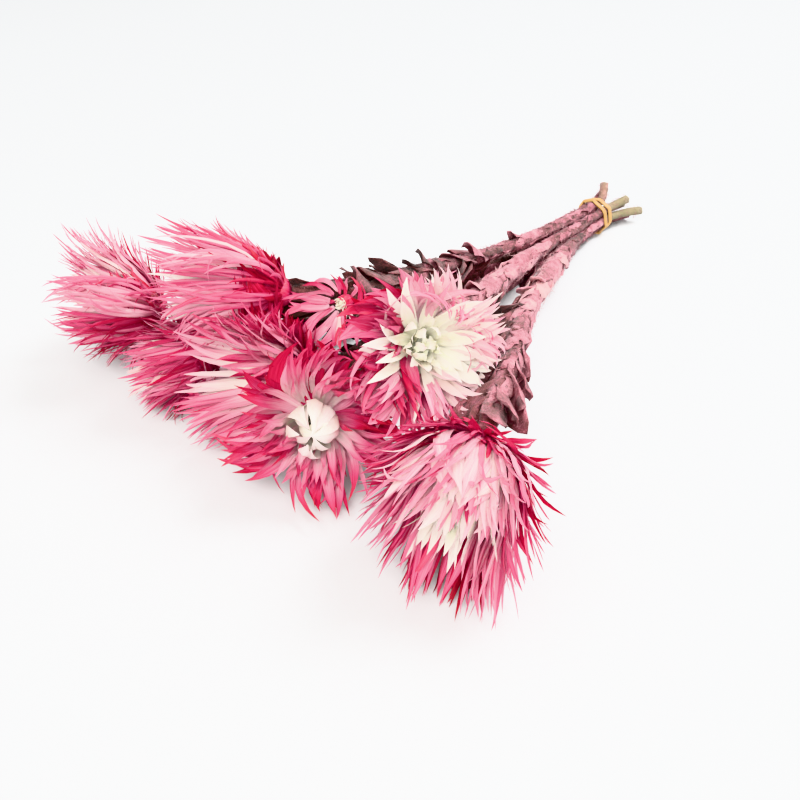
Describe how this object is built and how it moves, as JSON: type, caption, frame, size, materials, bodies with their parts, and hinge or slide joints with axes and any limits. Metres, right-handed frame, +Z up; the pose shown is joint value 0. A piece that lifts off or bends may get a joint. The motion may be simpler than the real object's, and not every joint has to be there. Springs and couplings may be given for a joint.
{
  "type": "dried strawflower bunch",
  "caption": "Dried pink strawflowers with papery pointed bracts and cream hearts on woolly leafy stems, tied with a rubber band and lying down",
  "frame": {"origin": "middle of the footprint, on the surface the bunch lies on", "axes": "the bunch lies along Y, heads towards -Y and cut stem ends towards +Y; X runs across it; +Z up"},
  "size_m": [0.2193, 0.2656, 0.0719],
  "materials": {
    "pink_bracts": "satin",
    "cream_bracts": "satin",
    "felted_stem": "matte",
    "rubber_band": "matte"
  },
  "bodies": {
    "root": {"bloom_a_bracts": "pink_bracts", "bloom_a_heart": "cream_bracts", "stem_a": "felted_stem", "bloom_b_bracts": "pink_bracts", "bloom_b_heart": "cream_bracts", "stem_b": "felted_stem", "bloom_c_bracts": "pink_bracts", "bloom_c_heart": "cream_bracts", "stem_c": "felted_stem", "bloom_d_bracts": "pink_bracts", "bloom_d_heart": "cream_bracts", "stem_d": "felted_stem", "bloom_e_bracts": "pink_bracts", "bloom_e_heart": "cream_bracts", "stem_e": "felted_stem", "bloom_f_bracts": "pink_bracts", "bloom_f_heart": "cream_bracts", "stem_f": "felted_stem", "bloom_g_bracts": "pink_bracts", "bloom_g_heart": "cream_bracts", "stem_g": "felted_stem", "bloom_h_bracts": "pink_bracts", "bloom_h_heart": "cream_bracts", "stem_h": "felted_stem", "tie": "rubber_band"}
  },
  "joints": []
}
